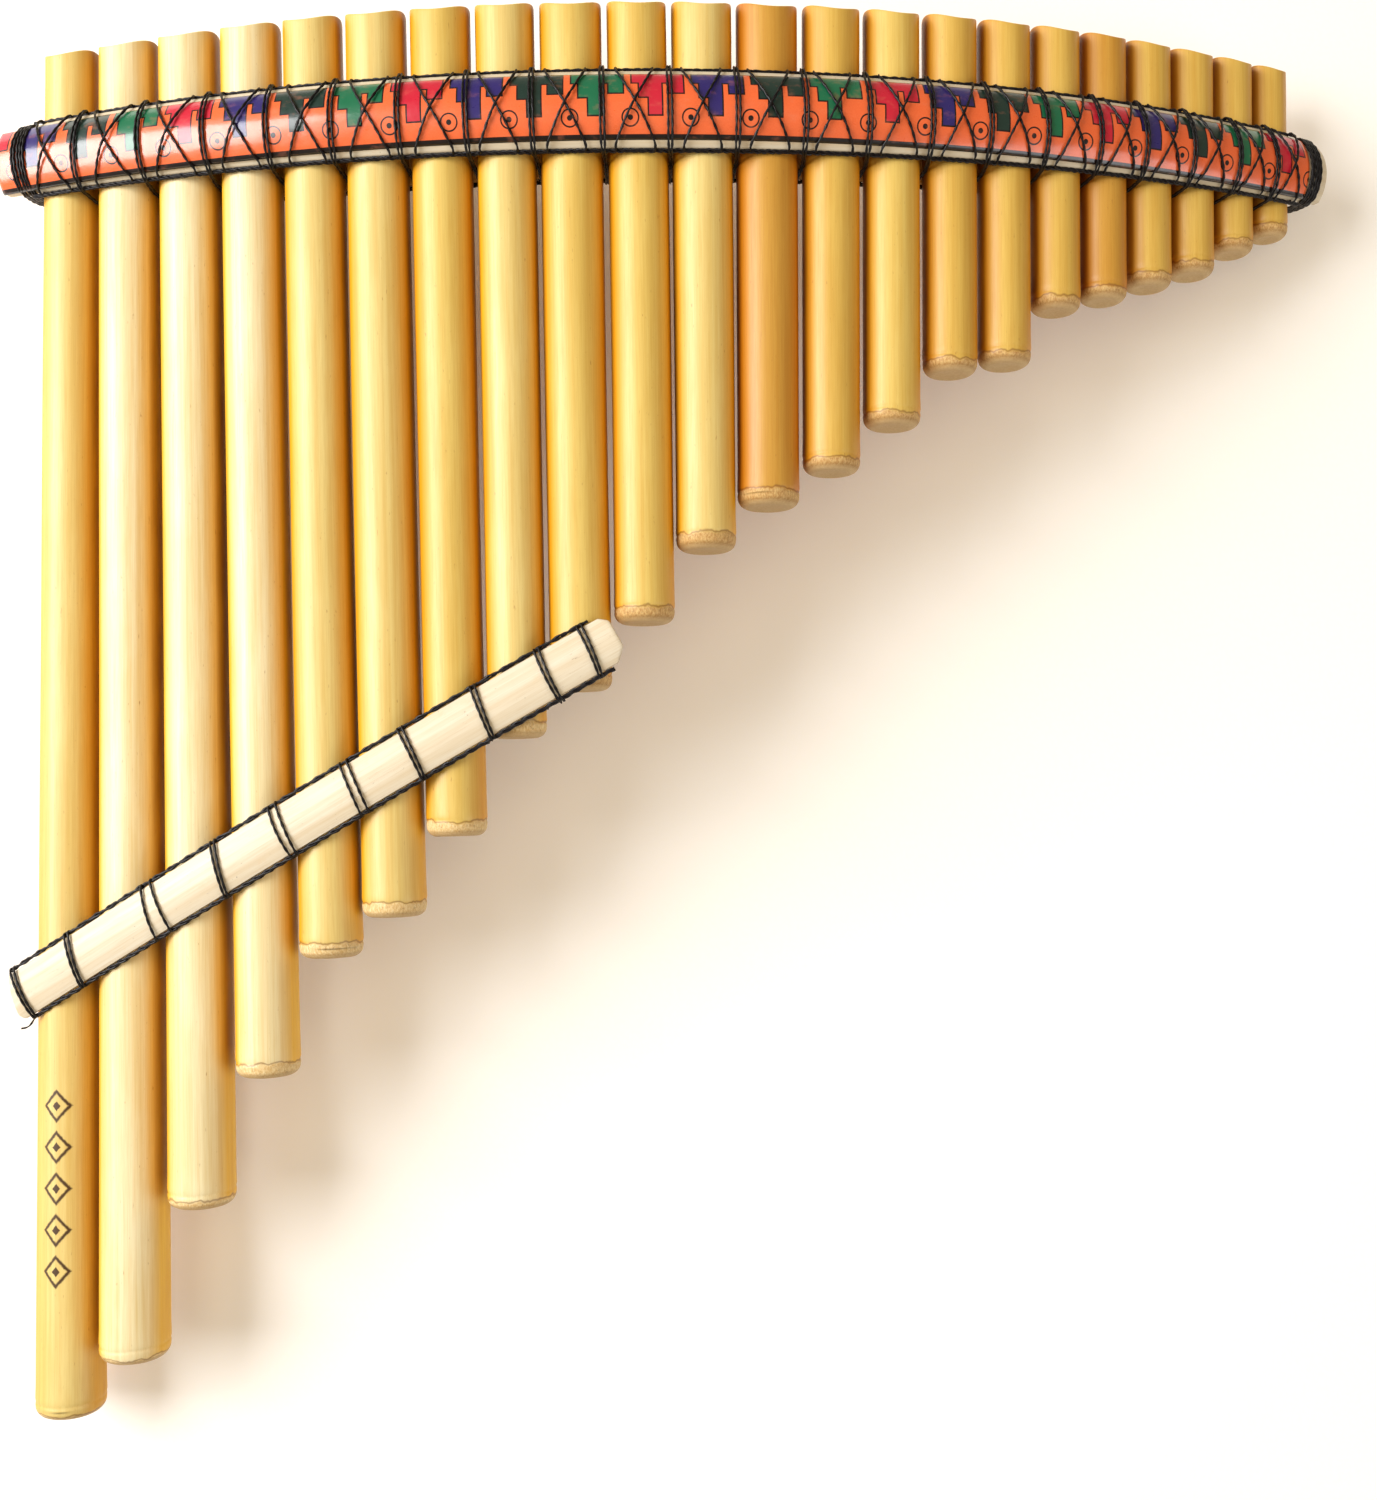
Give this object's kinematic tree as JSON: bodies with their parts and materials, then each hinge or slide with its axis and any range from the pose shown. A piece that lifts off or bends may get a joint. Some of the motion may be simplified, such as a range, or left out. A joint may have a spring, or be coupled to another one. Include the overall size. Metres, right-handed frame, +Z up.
{
  "type": "pan flute",
  "caption": "Curved pan flute: a row of closed cane pipes of falling length, lashed with waxed thread between split-cane slats under a printed ribbon.",
  "frame": {"origin": "middle of the base, on the table under the middle of the flute's outline, which lies on its hollow side", "axes": "+Z up out of the bulging front, +Y along the pipes towards the mouths, +X from the longest pipe to the shortest"},
  "size_m": [0.3314, 0.3269, 0.0556],
  "materials": {
    "cane": "satin",
    "split_cane": "satin",
    "cork": "matte",
    "ribbon": "gloss",
    "thread": "satin"
  },
  "bodies": {
    "root": {"pipe_01": "cane", "pipe_02": "cane", "pipe_03": "cane", "pipe_04": "cane", "pipe_05": "cane", "pipe_06": "cane", "pipe_07": "cane", "pipe_08": "cane", "pipe_09": "cane", "pipe_10": "cane", "pipe_11": "cane", "pipe_12": "cane", "pipe_13": "cane", "pipe_14": "cane", "pipe_15": "cane", "pipe_16": "cane", "pipe_17": "cane", "pipe_18": "cane", "pipe_19": "cane", "pipe_20": "cane", "pipe_21": "cane", "pipe_22": "cane", "plug_01": "cork", "plug_02": "cork", "plug_03": "cork", "plug_04": "cork", "plug_05": "cork", "plug_06": "cork", "plug_07": "cork", "plug_08": "cork", "plug_09": "cork", "plug_10": "cork", "plug_11": "cork", "plug_12": "cork", "plug_13": "cork", "plug_14": "cork", "plug_15": "cork", "plug_16": "cork", "plug_17": "cork", "plug_18": "cork", "plug_19": "cork", "plug_20": "cork", "plug_21": "cork", "plug_22": "cork", "front_head_slat": "split_cane", "rear_head_slat": "split_cane", "printed_ribbon": "ribbon", "head_wraps": "thread", "head_cross_lacing": "thread", "head_edge_cords": "thread", "left_whipping": "thread", "right_whipping": "thread", "front_brace_slat": "split_cane", "rear_brace_slat": "split_cane", "brace_edge_lashing": "thread", "brace_cross_wraps": "thread"}
  },
  "joints": []
}
